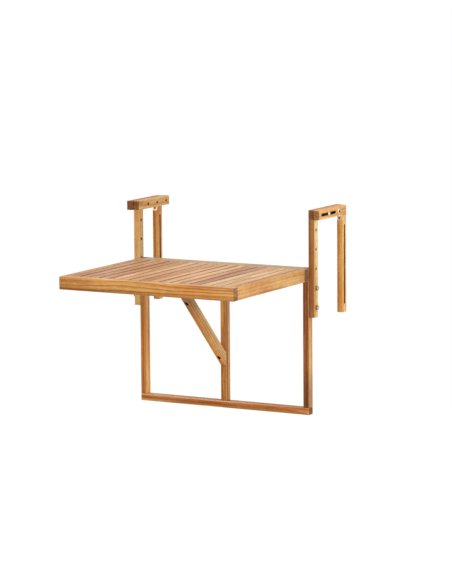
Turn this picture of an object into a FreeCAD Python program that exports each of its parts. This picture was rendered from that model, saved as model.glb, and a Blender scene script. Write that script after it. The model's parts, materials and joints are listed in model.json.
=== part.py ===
import FreeCAD, Part
import math
import os
import re
import Sketcher

# A wooden table that hangs on a railing: a slatted top, a frame behind it, a strut
# and two hangers whose arms lengthen to suit the railing.
# X runs along the railing, Y from the user towards the railing and Z up.
# The origin lies midway between the hangers, in the middle of the railing gap,
# at the height where the arms rest on the railing.

V = FreeCAD.Vector
os.makedirs("parts", exist_ok=True)
doc = FreeCAD.newDocument("HangingTable")

# Driving sizes in millimetres

SIZES = {
    # Table top
    "top_width": 600,
    "top_depth": 480,
    "rail_height": 40,
    "front_rail_thickness": 26,
    "back_rail_thickness": 26,
    "side_rail_thickness": 20,
    "slat_count": 16,
    "slat_width": 30,
    "slat_thickness": 14,
    "tongue_length": 8,
    "tongue_thickness": 6,
    "tongue_end_gap": 0.5,
    "batten_width": 46,
    "batten_housing": 6,
    "cleat_width": 44,
    "cleat_height": 30,
    # Tenons that hold the wooden pieces together
    "tenon_length": 12,
    "tenon_width": 14,
    "tenon_thickness": 9,
    "edge_ease": 1.5,
    # Frame behind the top
    "frame_height": 457,
    "frame_depth": 26,
    "stile_thickness": 20,
    "mullion_thickness": 20,
    "bottom_rail_height": 22,
    "head_rail_height": 36,
    # Strut between frame and top
    "strut_thickness": 20,
    "strut_depth": 30,
    "strut_foot_drop": 323,
    "strut_reach": 258,
    "strut_screw_inset": 29,
    "strut_screw_seat": 12,
    # Hangers
    "hanger_thickness": 20,
    "post_depth": 26,
    "post_drop": 152,
    "post_seat": 1.5,
    "saddle_rise": 151,
    "height_hole_inset": 31,
    "height_hole_pitch": 60,
    "height_hole_count": 5,
    "post_bolt_count": 2,
    "arm_height": 29,
    "inner_bar_length": 192,
    "arm_hole_inset": 58,
    "arm_hole_pitch": 57,
    "arm_hole_count": 3,
    "slide_gap": 0.5,
    "outer_bar_length": 186,
    "outer_bar_lead": 6,
    "arm_slot_inset": 14.5,
    "arm_slot_web": 18.5,
    "arm_slot_width": 9,
    "lock_screw_inset": 54,
    "leg_depth": 26,
    "leg_length": 305,
    "leg_slot_inset": 30,
    "leg_slot_foot": 26,
    "leg_slot_width": 8.5,
    # Corner bracket between arm and leg
    "bracket_width": 17,
    "bracket_flange": 18,
    "bracket_metal": 2,
    "bracket_corner": 6,
    # Fasteners
    "bolt_diameter": 8,
    "bolt_hole": 9,
    "bolt_head_diameter": 17,
    "bolt_head_height": 4,
    "hex_across": 13,
    "hex_head_height": 5.3,
    "slide_head_diameter": 11,
    "slide_head_height": 4,
    "head_gap": 0.2,
    "washer_diameter": 16,
    "washer_metal": 1.6,
    "insert_diameter": 11,
    "insert_length": 12,
    "insert_tip_gap": 2.5,
    "socket_across": 6,
    "socket_depth": 3,
    "screw_diameter": 6,
    "screw_head_diameter": 11,
    "screw_head_height": 4,
    "screw_counterbore": 11.6,
    "screw_bite": 16,
    "small_screw_diameter": 4,
    "small_screw_head": 8,
    "small_screw_head_height": 2.2,
    "small_screw_bite": 12,
    "small_screw_counterbore": 8.4,
    "small_screw_recess": 5,
    "small_screw_key": 4,
    "small_screw_key_depth": 1.4,
    "slat_screw_bite": 9,
    "head_fix_spacing": 130,
    "head_fix_count": 4,
}

# Places worked out from the driving sizes

PLACES = {
    "inner_width": "=top_width - 2 * side_rail_thickness",
    "slat_run": "=top_depth - front_rail_thickness - back_rail_thickness",
    "slat_gap": "=(inner_width - slat_count * slat_width) / (slat_count + 1)",
    "slat_step": "=slat_width + slat_gap",
    "rail_gap": "=outer_bar_length - outer_bar_lead - leg_depth - post_depth",
    "post_back": "=-rail_gap / 2",
    "frame_front": "=post_back - post_depth",
    "top_front": "=frame_front - top_depth",
    "top_plane": "=-saddle_rise",
    "rail_bottom": "=-saddle_rise - rail_height",
    "frame_bottom": "=-saddle_rise - frame_height",
    "half_width": "=top_width / 2",
    "batten_height": "=rail_height - slat_thickness",
    "head_drop": "=rail_height + cleat_height",
    "strut_angle": "=atan((strut_foot_drop - head_drop) / strut_reach)",
    "strut_rise": "=strut_depth / cos(strut_angle)",
    "strut_run": "=strut_depth / sin(strut_angle)",
    "batten_front": "=frame_front - strut_reach + strut_run / 2 - batten_width / 2",
    "stile_length": "=frame_height - bottom_rail_height",
    "mullion_length": "=frame_height - bottom_rail_height - head_rail_height",
    "post_length": "=post_drop + saddle_rise + post_seat",
    "post_bottom": "=-saddle_rise - post_drop",
    "outer_bar_front": "=frame_front - outer_bar_lead",
    "arm_slot_length": "=outer_bar_length - lock_screw_inset - arm_slot_inset - arm_slot_web",
    "leg_slot_length": "=leg_length - leg_slot_inset - leg_slot_foot",
    "leg_front": "=rail_gap / 2",
    "slide_bolt_place": "=frame_front + arm_hole_inset",
    "outer_face": "=half_width + 2 * hanger_thickness + slide_gap",
    "bracket_hole": "=(bracket_flange + bracket_metal) / 2",
    "strut_head_place": "=frame_front - strut_reach + strut_screw_inset",
    "strut_foot_place": "=-saddle_rise - strut_foot_drop + strut_screw_inset",
}

sheet = doc.addObject("Spreadsheet::Sheet", "Sizes")
for row, (alias, content) in enumerate(list(SIZES.items()) + list(PLACES.items()), start=1):
    sheet.set("A%d" % row, alias)
    sheet.set("B%d" % row, str(content))
    sheet.setAlias("B%d" % row, alias)
doc.recompute()

ALIASES = set(SIZES) | set(PLACES)
NODES = []
AXIS_PLANES = {"x": ("YZ_Plane", 1), "y": ("XZ_Plane", -1), "z": ("XY_Plane", 1)}


def formula(text):
    """Turn size names into references to the sheet."""
    def refer(match):
        word = match.group()
        return "Sizes." + word if word in ALIASES else word
    return re.sub(r"[a-z_]+", refer, str(text))


def value(text):
    """The present value of a formula, as a plain number."""
    result = sheet.evalExpression(formula(text))
    return float(getattr(result, "Value", result))


def bind(obj, prop, text):
    """Tie a property of an object to a formula of sizes."""
    obj.setExpression(prop, formula(text))


def centred(outside, inside):
    """Start of a smaller length that lies in the middle of a larger one."""
    return "(%s - %s) / 2" % (outside, inside)


def place(obj, x, y, z):
    """Tie an object's position to three formulas."""
    for letter, text in zip("xyz", (x, y, z)):
        bind(obj, "Placement.Base." + letter, text)


def keep(obj, label):
    """Give a finished sub-part its name and list it for export."""
    obj.Label = label
    NODES.append(obj)
    return obj


# Wooden and sheet metal pieces: bodies with sketches

class Piece:
    """A body whose sketches lie on its own origin planes; u and v run across the sketch's axis."""

    def __init__(self, label, x, y, z):
        self.label = label
        self.body = doc.addObject("PartDesign::Body", label)
        place(self.body, x, y, z)
        keep(self.body, label)

    def sketch(self, axis, start):
        role, sign = AXIS_PLANES[axis]
        flat = self.body.newObject("Sketcher::SketchObject", self.label + "_sketch")
        plane = [item for item in self.body.Origin.OriginFeatures if item.Role == role][0]
        flat.AttachmentSupport = (plane, [""])
        flat.MapMode = "FlatFace"
        bind(flat, "AttachmentOffset.Base.z", "%d * (%s)" % (sign, start))
        return flat

    def pin(self, flat, geometry, point, u, v):
        """Hold a point of a sketch at the place that two formulas give."""
        for kind, text in (("DistanceX", u), ("DistanceY", v)):
            number = flat.addConstraint(Sketcher.Constraint(kind, -1, 1, geometry, point, value(text)))
            bind(flat, "Constraints[%d]" % number, text)

    def outline(self, flat, points):
        """A closed outline of straight lines through the given corners."""
        spots = [V(value(u), value(v), 0) for u, v in points]
        lines = []
        for first, second in zip(spots, spots[1:] + spots[:1]):
            lines.append(flat.addGeometry(Part.LineSegment(first, second), False))
        for index, line in enumerate(lines):
            following = lines[(index + 1) % len(lines)]
            flat.addConstraint(Sketcher.Constraint("Coincident", line, 2, following, 1))
        for line, (u, v) in zip(lines, points):
            self.pin(flat, line, 1, u, v)

    def circle(self, flat, u, v, diameter):
        middle = V(value(u), value(v), 0)
        ring = flat.addGeometry(Part.Circle(middle, V(0, 0, 1), value(diameter) / 2), False)
        self.pin(flat, ring, 3, u, v)
        number = flat.addConstraint(Sketcher.Constraint("Diameter", ring, value(diameter)))
        bind(flat, "Constraints[%d]" % number, diameter)

    def long_hole(self, flat, u, v, length, width, along):
        """A slot outline with round ends, its length along u or v."""
        half = "(%s) / 2 - (%s) / 2" % (length, width)
        turn = 0 if along == "u" else 90
        ends = []
        for sign in (-1, 1):
            cu = "%s + %d * (%s)" % (u, sign, half) if along == "u" else u
            cv = "%s + %d * (%s)" % (v, sign, half) if along == "v" else v
            circle = Part.Circle(V(value(cu), value(cv), 0), V(0, 0, 1), value(width) / 2)
            start = math.radians(turn - 90 * sign)
            arc = Part.ArcOfCircle(circle, start, start + math.pi)
            number = flat.addGeometry(arc, False)
            ends.append((number, arc, cu, cv))
        (low, low_arc, low_u, low_v), (high, high_arc, high_u, high_v) = ends
        sides = []
        for first, second in ((low_arc, high_arc), (high_arc, low_arc)):
            sides.append(flat.addGeometry(Part.LineSegment(first.EndPoint, second.StartPoint), False))
        for arc, line in ((low, sides[0]), (high, sides[1])):
            flat.addConstraint(Sketcher.Constraint("Tangent", arc, 2, line, 1))
        for line, arc in ((sides[0], high), (sides[1], low)):
            flat.addConstraint(Sketcher.Constraint("Tangent", line, 2, arc, 1))
        self.pin(flat, low, 3, low_u, low_v)
        self.pin(flat, high, 3, high_u, high_v)
        number = flat.addConstraint(Sketcher.Constraint("Diameter", low, value(width)))
        bind(flat, "Constraints[%d]" % number, width)

    def volume(self):
        doc.recompute()
        return self.body.Shape.Volume if self.body.Tip else 0.0

    def grow(self, axis, flat, length):
        """Add the sketch's area, pushed along its axis."""
        before = self.volume()
        pad = self.body.newObject("PartDesign::Pad", self.label + "_pad")
        pad.Profile = flat
        bind(pad, "Length", length)
        pad.Reversed = axis == "y"
        if self.volume() <= before:
            raise RuntimeError("%s: a pad added nothing" % self.label)
        return pad

    def carve(self, axis, flat, length):
        """Take the sketch's area away, pushed along its axis."""
        before = self.volume()
        pocket = self.body.newObject("PartDesign::Pocket", self.label + "_pocket")
        pocket.Profile = flat
        bind(pocket, "Length", length)
        pocket.Reversed = axis != "y"
        if self.volume() >= before:
            raise RuntimeError("%s: a pocket removed nothing" % self.label)
        return pocket

    def block(self, corner, size, take=False):
        """A block with its lowest corner and its size given by formulas, added or taken away."""
        x, y, z = corner
        dx, dy, dz = size
        flat = self.sketch("z", z)
        right = "%s + %s" % (x, dx)
        back = "%s + %s" % (y, dy)
        self.outline(flat, [(x, y), (right, y), (right, back), (x, back)])
        return self.carve("z", flat, dz) if take else self.grow("z", flat, dz)

    def drill(self, axis, u, v, start, diameter, depth):
        """A round hole along an axis from the start plane."""
        flat = self.sketch(axis, start)
        self.circle(flat, u, v, diameter)
        return self.carve(axis, flat, depth)

    def repeat(self, feature, role, pitch, count):
        """Repeat a feature along one of the body's own axes."""
        pattern = self.body.newObject("PartDesign::LinearPattern", self.label + "_row")
        pattern.Originals = [feature]
        axis = [item for item in self.body.Origin.OriginFeatures if item.Role == role][0]
        pattern.Direction = (axis, [""])
        bind(pattern, "Length", "(%s) * (%s - 1)" % (pitch, count))
        bind(pattern, "Occurrences", count)
        self.body.Tip = pattern
        doc.recompute()
        return pattern

    def ease(self):
        """Round every edge that the piece has so far."""
        doc.recompute()
        base = self.body.Tip
        fillet = self.body.newObject("PartDesign::Fillet", self.label + "_ease")
        fillet.Base = (base, ["Edge%d" % (n + 1) for n in range(len(base.Shape.Edges))])
        bind(fillet, "Radius", "edge_ease")
        doc.recompute()
        return fillet

    def round_ends(self, metal, radius):
        """Round the short edges across the metal, at the free ends of a bent strip."""
        doc.recompute()
        base = self.body.Tip
        short = []
        for number, edge in enumerate(base.Shape.Edges, start=1):
            along = edge.tangentAt(edge.FirstParameter)
            if abs(edge.Length - value(metal)) < 1e-6 and abs(along.x) < 1e-6:
                short.append("Edge%d" % number)
        fillet = self.body.newObject("PartDesign::Fillet", self.label + "_ends")
        fillet.Base = (base, short)
        bind(fillet, "Radius", radius)
        doc.recompute()
        return fillet


def board(label, corner, size):
    """A planed board with eased edges, its own origin at its lowest corner."""
    piece = Piece(label, *corner)
    piece.block((0, 0, 0), size)
    piece.ease()
    return piece


# Turned and hexagonal fasteners: primitives and booleans along their own Z axis

def rod(label, diameter, length, start="0"):
    item = doc.addObject("Part::Cylinder", label)
    bind(item, "Radius", "(%s) / 2" % diameter)
    bind(item, "Height", length)
    bind(item, "Placement.Base.z", start)
    return item


def hexagon(label, across, length, start="0"):
    item = doc.addObject("Part::Prism", label)
    item.Polygon = 6
    bind(item, "Circumradius", "(%s) / sqrt(3)" % across)
    bind(item, "Height", length)
    bind(item, "Placement.Base.z", start)
    return item


def joined(label, items):
    result = doc.addObject("Part::MultiFuse", label)
    result.Shapes = items
    return result


def without(label, base, tool):
    result = doc.addObject("Part::Cut", label)
    result.Base = base
    result.Tool = tool
    return result


def aim(obj, direction, x, y, z):
    """Turn an item's Z axis to a direction and put its base at a place."""
    obj.Placement = FreeCAD.Placement(V(0, 0, 0), FreeCAD.Rotation(V(0, 0, 1), V(*direction)))
    place(obj, x, y, z)
    return obj


def group(label, items):
    """Identical fasteners as separate solids of one sub-part."""
    result = doc.addObject("Part::Compound", label)
    result.Links = items
    return keep(result, label)


def insert(label):
    """A threaded insert for a bolt, as a plain sleeve."""
    return without(label, rod(label + "_outside", "insert_diameter", "insert_length"),
                   rod(label + "_bore", "bolt_diameter", "insert_length"))


def screw(label, diameter, length, head, head_height, key, key_depth):
    """A screw with its seat at its own origin, its head below it and a hexagonal socket in the head."""
    shank = rod(label + "_shank", diameter, length)
    cap = rod(label + "_cap", head, head_height, "-(%s)" % head_height)
    socket = hexagon(label + "_socket", key, key_depth, "-(%s)" % head_height)
    return without(label, joined(label + "_solid", [shank, cap]), socket)


# Table top

SLAT_COUNT = int(value("slat_count"))
TONGUE_LOW = "(slat_thickness - tongue_thickness) / 2"
GROOVE_LOW = "(rail_height - slat_thickness / 2 - tongue_thickness / 2)"
GROOVE_DEPTH = "(tongue_length + tongue_end_gap)"
HEAD_FIX_COUNT = int(value("head_fix_count"))
HEAD_FIX_PLACES = ["(%d - (head_fix_count - 1) / 2) * head_fix_spacing" % step
                   for step in range(HEAD_FIX_COUNT)]
HEAD_FIX_HEIGHT = "(top_plane - head_rail_height / 2)"


def top_rail(label, thickness, front, groove_start, mortise_start):
    """A front or back rail with a groove for the slats and mortises for the side rails."""
    rail = board(label, ("-half_width", front, "rail_bottom"), ("top_width", thickness, "rail_height"))
    rail.block(("side_rail_thickness", groove_start, GROOVE_LOW),
               ("inner_width", GROOVE_DEPTH, "tongue_thickness"), take=True)
    for middle in ("side_rail_thickness / 2", "top_width - side_rail_thickness / 2"):
        rail.block(("%s - tenon_thickness / 2" % middle, mortise_start, "(rail_height - tenon_width) / 2"),
                   ("tenon_thickness", "tenon_length", "tenon_width"), take=True)
    return rail


def table_top_rails():
    top_rail("front_rail", "front_rail_thickness", "top_front",
             "front_rail_thickness - %s" % GROOVE_DEPTH, "front_rail_thickness - tenon_length")
    back = top_rail("back_rail", "back_rail_thickness", "frame_front - back_rail_thickness", "0", "0")
    for middle in HEAD_FIX_PLACES:
        back.drill("y", "half_width + %s" % middle, "%s - rail_bottom" % HEAD_FIX_HEIGHT,
                   "back_rail_thickness - screw_bite", "screw_diameter", "screw_bite")


def side_rail(label, x, housing_start):
    """A side rail with a tenon at each end and a housing for the batten's end."""
    rail = board(label, (x, "top_front + front_rail_thickness", "rail_bottom"),
                 ("side_rail_thickness", "slat_run", "rail_height"))
    across = centred("side_rail_thickness", "tenon_thickness")
    for start in ("-tenon_length", "slat_run"):
        rail.block((across, start, centred("rail_height", "tenon_width")),
                   ("tenon_thickness", "tenon_length", "tenon_width"))
    rail.block((housing_start, "batten_front - top_front - front_rail_thickness", "0"),
               ("batten_housing", "batten_width", "batten_height"), take=True)


def slats():
    """Slats with a tongue at each end, and a pilot hole from below for the batten's screw."""
    front = "top_front + front_rail_thickness"
    pilot = "batten_front + batten_width / 2 - top_front - front_rail_thickness"
    for index in range(SLAT_COUNT):
        x = "-inner_width / 2 + slat_gap + %d * slat_step" % index
        slat = board("slat_%02d" % (index + 1), (x, front, "top_plane - slat_thickness"),
                     ("slat_width", "slat_run", "slat_thickness"))
        for start in ("-tongue_length", "slat_run"):
            slat.block(("edge_ease", start, TONGUE_LOW),
                       ("slat_width - 2 * edge_ease", "tongue_length", "tongue_thickness"))
        slat.drill("z", "slat_width / 2", pilot, "0", "small_screw_diameter", "slat_screw_bite")


def batten_and_cleat():
    """The batten under the slats, its screws, and the block under it that takes the strut's head."""
    batten = board("mid_batten", ("-inner_width / 2 - batten_housing", "batten_front", "rail_bottom"),
                   ("inner_width + 2 * batten_housing", "batten_width", "batten_height"))
    screws = []
    for index in range(SLAT_COUNT):
        across = "slat_gap + %d * slat_step + slat_width / 2" % index
        u = "batten_housing + %s" % across
        batten.drill("z", u, "batten_width / 2", "0", "small_screw_counterbore", "small_screw_recess")
        batten.drill("z", u, "batten_width / 2", "0", "small_screw_diameter", "batten_height")
        item = screw("slat_screw_%02d" % (index + 1), "small_screw_diameter",
                     "batten_height - small_screw_recess + slat_screw_bite", "small_screw_head",
                     "small_screw_head_height", "small_screw_key", "small_screw_key_depth")
        screws.append(aim(item, (0, 0, 1), "-inner_width / 2 + %s" % across,
                          "batten_front + batten_width / 2", "rail_bottom + small_screw_recess"))
    group("slat_screws", screws)
    screw_place = "strut_head_place - batten_front"
    batten.drill("z", "inner_width / 2 + batten_housing", screw_place, "0", "screw_diameter", "screw_bite")
    cleat = board("strut_cleat", ("-cleat_width / 2", "batten_front", "rail_bottom - cleat_height"),
                  ("cleat_width", "batten_width", "cleat_height"))
    cleat.drill("z", "cleat_width / 2", screw_place, "0", "screw_diameter", "cleat_height")


# Frame behind the top

STILE_BOLT_LOW = "(stile_length - post_drop + height_hole_inset)"
STILE_BORE = "(insert_length + insert_tip_gap)"


def stile(label, x, mortise_start, bore_start):
    """A stile on the bottom rail, with bores for the hanger's inserts and a mortise for the head rail."""
    item = board(label, (x, "frame_front", "frame_bottom + bottom_rail_height"),
                 ("stile_thickness", "frame_depth", "stile_length"))
    across = centred("stile_thickness", "tenon_thickness")
    item.block((across, centred("frame_depth", "tenon_width"), "-tenon_length"),
               ("tenon_thickness", "tenon_width", "tenon_length"))
    item.block((mortise_start, centred("frame_depth", "tenon_thickness"),
                "stile_length - (head_rail_height + tenon_width) / 2"),
               ("tenon_length", "tenon_thickness", "tenon_width"), take=True)
    hole = item.drill("x", "post_depth / 2", STILE_BOLT_LOW, bore_start, "insert_diameter", STILE_BORE)
    item.repeat(hole, "Z_Axis", "height_hole_pitch", "post_bolt_count")


def frame_rails():
    bottom = board("bottom_rail", ("-half_width", "frame_front", "frame_bottom"),
                   ("top_width", "frame_depth", "bottom_rail_height"))
    upright_tenon = ("tenon_thickness", "tenon_width", "tenon_length")
    inside = centred("frame_depth", "tenon_width")
    for middle in ("stile_thickness / 2", "half_width", "top_width - stile_thickness / 2"):
        bottom.block(("%s - tenon_thickness / 2" % middle, inside, "bottom_rail_height - tenon_length"),
                     upright_tenon, take=True)
    head = board("head_rail",
                 ("-half_width + stile_thickness", "frame_front", "top_plane - head_rail_height"),
                 ("top_width - 2 * stile_thickness", "frame_depth", "head_rail_height"))
    edge = centred("frame_depth", "tenon_thickness")
    for start in ("-tenon_length", "top_width - 2 * stile_thickness"):
        head.block((start, edge, centred("head_rail_height", "tenon_width")),
                   ("tenon_length", "tenon_thickness", "tenon_width"))
    head.block(("half_width - stile_thickness - tenon_thickness / 2", inside, "0"),
               upright_tenon, take=True)
    screws = []
    for number, middle in enumerate(HEAD_FIX_PLACES, start=1):
        head.drill("y", "half_width - stile_thickness + %s" % middle, "head_rail_height / 2", "0",
                   "screw_diameter", "frame_depth")
        item = screw("head_fix_%d" % number, "screw_diameter", "frame_depth + screw_bite",
                     "screw_head_diameter", "screw_head_height", "socket_across", "socket_depth")
        screws.append(aim(item, (0, -1, 0), middle, "frame_front + frame_depth", HEAD_FIX_HEIGHT))
    group("head_rail_screws", screws)


def mullion():
    item = board("mullion", ("-mullion_thickness / 2", "frame_front", "frame_bottom + bottom_rail_height"),
                 ("mullion_thickness", "frame_depth", "mullion_length"))
    across = centred("mullion_thickness", "tenon_thickness")
    for start in ("-tenon_length", "mullion_length"):
        item.block((across, centred("frame_depth", "tenon_width"), start),
                   ("tenon_thickness", "tenon_width", "tenon_length"))
    item.drill("y", "mullion_thickness / 2", "strut_foot_place - frame_bottom - bottom_rail_height", "0",
               "screw_diameter", "screw_bite")


def strut():
    """The strut, cut upright at its foot and level at its head, with a sunk screw at each end."""
    item = Piece("strut", "-strut_thickness / 2", "frame_front", "top_plane")
    flat = item.sketch("x", "0")
    item.outline(flat, [("0", "-strut_foot_drop"),
                        ("0", "-strut_foot_drop + strut_rise"),
                        ("-strut_reach + strut_run", "-head_drop"),
                        ("-strut_reach", "-head_drop")])
    item.grow("x", flat, "strut_thickness")
    item.ease()
    middle = "strut_thickness / 2"
    foot = "-strut_foot_drop + strut_screw_inset"
    head = "-strut_reach + strut_screw_inset"
    under = "-head_drop - strut_rise"
    item.drill("y", middle, foot, "-strut_run", "screw_counterbore", "strut_run - strut_screw_seat")
    item.drill("y", middle, foot, "-strut_run", "screw_diameter", "strut_run")
    item.drill("z", middle, head, under, "screw_counterbore", "strut_rise - strut_screw_seat")
    item.drill("z", middle, head, under, "screw_diameter", "strut_rise")
    for label, length, direction, y, z in (
            ("strut_foot_screw", "strut_screw_seat + screw_bite", (0, 1, 0),
             "frame_front - strut_screw_seat", "strut_foot_place"),
            ("strut_head_screw", "strut_screw_seat + cleat_height + screw_bite", (0, 0, 1),
             "strut_head_place", "top_plane - head_drop - strut_screw_seat")):
        fastener = screw(label, "screw_diameter", length, "screw_head_diameter", "screw_head_height",
                         "socket_across", "socket_depth")
        keep(aim(fastener, direction, "0", y, z), label)


# Hangers

HANGER_TENON = ("tenon_thickness", "tenon_width", "tenon_length")
HANGER_TENON_SIDE = centred("hanger_thickness", "tenon_thickness")


class Hanger:
    """One hanger: a post and inner bar fixed to the frame, and an outer bar and drop leg that slide."""

    def __init__(self, side):
        self.sign = {"right": 1, "left": -1}[side]
        self.side = side

    def name(self, piece):
        return "%s_%s" % (self.side, piece)

    def low(self, inner, thickness="hanger_thickness"):
        """Lowest X of a piece whose face nearest the middle lies at the given distance."""
        return inner if self.sign > 0 else "-(%s) - (%s)" % (inner, thickness)

    def at(self, distance):
        """X of a plane at the given distance from the middle, on this hanger's side."""
        return "%d * (%s)" % (self.sign, distance)

    def outboard(self, depth):
        """Own X where a cut of the given depth starts that opens on the side away from the middle."""
        return "hanger_thickness - %s" % depth if self.sign > 0 else "0"

    def post(self):
        post = board(self.name("post"), (self.low("half_width"), "frame_front", "post_bottom"),
                     ("hanger_thickness", "post_depth", "post_length"))
        post.block((HANGER_TENON_SIDE, centred("post_depth", "tenon_width"), "post_length"), HANGER_TENON)
        hole = post.drill("x", "post_depth / 2", "height_hole_inset", "0", "bolt_hole", "hanger_thickness")
        post.repeat(hole, "Z_Axis", "height_hole_pitch", "height_hole_count")

    def inner_bar(self):
        bar = board(self.name("inner_bar"), (self.low("half_width"), "frame_front", "0"),
                    ("hanger_thickness", "inner_bar_length", "arm_height"))
        bar.block(("0", "0", "0"), ("hanger_thickness", "post_depth", "post_seat"), take=True)
        bar.block((HANGER_TENON_SIDE, centred("post_depth", "tenon_width"), "post_seat"),
                  HANGER_TENON, take=True)
        bar.drill("x", "arm_hole_inset", "arm_height / 2", self.outboard("insert_length"),
                  "insert_diameter", "insert_length")
        hole = bar.drill("x", "arm_hole_inset", "arm_height / 2", "0", "bolt_hole", "hanger_thickness")
        bar.repeat(hole, "Y_Axis", "arm_hole_pitch", "arm_hole_count")

    def outer_bar(self):
        bar = board(self.name("outer_bar"), (self.low("half_width + hanger_thickness + slide_gap"),
                                             "outer_bar_front", "0"),
                    ("hanger_thickness", "outer_bar_length", "arm_height"))
        flat = bar.sketch("x", "0")
        bar.long_hole(flat, "arm_slot_inset + arm_slot_length / 2", "arm_height / 2",
                      "arm_slot_length", "arm_slot_width", "u")
        bar.carve("x", flat, "hanger_thickness")
        bar.drill("x", "outer_bar_length - lock_screw_inset", "arm_height / 2", "0",
                  "bolt_diameter", "hanger_thickness")
        bar.block((HANGER_TENON_SIDE, "outer_bar_length - (leg_depth + tenon_width) / 2", "0"),
                  HANGER_TENON, take=True)
        bar.drill("z", "hanger_thickness / 2", "outer_bar_length - leg_depth - bracket_hole", "0",
                  "small_screw_diameter", "small_screw_bite")

    def drop_leg(self):
        leg = board(self.name("drop_leg"), (self.low("half_width + hanger_thickness + slide_gap"),
                                            "leg_front", "-leg_length"),
                    ("hanger_thickness", "leg_depth", "leg_length"))
        leg.block((HANGER_TENON_SIDE, centred("leg_depth", "tenon_width"), "leg_length"), HANGER_TENON)
        flat = leg.sketch("x", "0")
        leg.long_hole(flat, "leg_depth / 2", "leg_slot_foot + leg_slot_length / 2",
                      "leg_slot_length", "leg_slot_width", "v")
        leg.carve("x", flat, "hanger_thickness")
        leg.drill("y", "hanger_thickness / 2", "leg_length - bracket_hole", "0",
                  "small_screw_diameter", "small_screw_bite")

    def bracket(self):
        """A bent steel corner bracket with round flange ends, and its two screws."""
        middle = self.at("half_width + hanger_thickness * 1.5 + slide_gap")
        item = Piece(self.name("leg_bracket"), "%s - bracket_width / 2" % middle, "leg_front", "0")
        flat = item.sketch("x", "0")
        item.outline(flat, [("0", "0"), ("0", "-bracket_flange"), ("-bracket_metal", "-bracket_flange"),
                            ("-bracket_metal", "-bracket_metal"), ("-bracket_flange", "-bracket_metal"),
                            ("-bracket_flange", "0")])
        item.grow("x", flat, "bracket_width")
        item.round_ends("bracket_metal", "bracket_corner")
        item.drill("y", "bracket_width / 2", "-bracket_hole", "-bracket_metal",
                   "small_screw_diameter", "bracket_metal")
        item.drill("z", "bracket_width / 2", "-bracket_hole", "-bracket_metal",
                   "small_screw_diameter", "bracket_metal")
        screws = []
        for number, direction, y, z in ((1, (0, 1, 0), "leg_front - bracket_metal", "-bracket_hole"),
                                        (2, (0, 0, 1), "leg_front - bracket_hole", "-bracket_metal")):
            fastener = screw("%s_bracket_screw_%d" % (self.side, number), "small_screw_diameter",
                             "bracket_metal + small_screw_bite", "small_screw_head",
                             "small_screw_head_height", "small_screw_key", "small_screw_key_depth")
            screws.append(aim(fastener, direction, middle, y, z))
        group(self.name("bracket_screws"), screws)

    def slide_bolt(self):
        """The bolt in the outer bar's slot, and the threaded insert in the inner bar that it turns into."""
        length = "head_gap + hanger_thickness + slide_gap + insert_length"
        shank = rod(self.name("slide_bolt_shank"), "bolt_diameter", length)
        head = rod(self.name("slide_bolt_head"), "slide_head_diameter", "slide_head_height",
                   "-slide_head_height")
        bolt = joined(self.name("slide_bolt_solid"), [shank, head])
        aim(bolt, (-self.sign, 0, 0), self.at("outer_face + head_gap"), "slide_bolt_place",
            "arm_height / 2")
        keep(bolt, self.name("slide_bolt"))
        sleeve = insert(self.name("slide_sleeve"))
        aim(sleeve, (-self.sign, 0, 0), self.at("half_width + hanger_thickness"), "slide_bolt_place",
            "arm_height / 2")
        keep(sleeve, self.name("slide_insert"))

    def lock_screw(self):
        item = screw(self.name("lock_screw"), "bolt_diameter", "hanger_thickness", "bolt_head_diameter",
                     "bolt_head_height", "socket_across", "socket_depth")
        aim(item, (-self.sign, 0, 0), self.at("outer_face"),
            "outer_bar_front + outer_bar_length - lock_screw_inset", "arm_height / 2")
        keep(item, self.name("lock_screw"))

    def post_fasteners(self):
        """Bolts through washer and post, each into a threaded insert in the stile."""
        sets = {"post_bolts": [], "post_washers": [], "post_inserts": []}
        seats = {"post_bolts": "half_width + hanger_thickness + washer_metal",
                 "post_washers": "half_width + hanger_thickness + washer_metal",
                 "post_inserts": "half_width"}
        for number in range(int(value("post_bolt_count"))):
            tag = "%s_post_%d" % (self.side, number + 1)
            sets["post_bolts"].append(joined(tag + "_bolt", [
                rod(tag + "_shank", "bolt_diameter", "washer_metal + hanger_thickness + insert_length"),
                hexagon(tag + "_head", "hex_across", "hex_head_height", "-hex_head_height")]))
            sets["post_washers"].append(without(
                tag + "_washer", rod(tag + "_washer_disc", "washer_diameter", "washer_metal"),
                rod(tag + "_washer_hole", "bolt_diameter", "washer_metal")))
            sets["post_inserts"].append(insert(tag + "_insert"))
        for label, items in sets.items():
            for step, item in enumerate(items):
                aim(item, (-self.sign, 0, 0), self.at(seats[label]), "frame_front + post_depth / 2",
                    "post_bottom + height_hole_inset + %d * height_hole_pitch" % step)
            group(self.name(label), items)

    def build(self):
        self.post()
        self.inner_bar()
        self.outer_bar()
        self.drop_leg()
        self.bracket()
        self.slide_bolt()
        self.lock_screw()
        self.post_fasteners()


# Build and export

table_top_rails()
side_rail("left_side_rail", "-half_width", "side_rail_thickness - batten_housing")
side_rail("right_side_rail", "half_width - side_rail_thickness", "0")
slats()
batten_and_cleat()
stile("left_stile", "-half_width", "stile_thickness - tenon_length", "0")
stile("right_stile", "half_width - stile_thickness", "0", "stile_thickness - %s" % STILE_BORE)
frame_rails()
mullion()
strut()
for side in ("left", "right"):
    Hanger(side).build()
doc.recompute()

for item in doc.Objects:
    if "Invalid" in item.State or "Error" in item.State:
        raise RuntimeError("%s did not recompute: %s" % (item.Label, item.State))
for node in NODES:
    if node.Shape.isNull() or not node.Shape.isValid():
        raise RuntimeError("%s has no valid shape" % node.Label)
    node.Shape.exportStep("parts/%s.step" % node.Label)
print("%d sub-parts written, %d slats" % (len(NODES), SLAT_COUNT))
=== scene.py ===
import json
import math
import random

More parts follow.
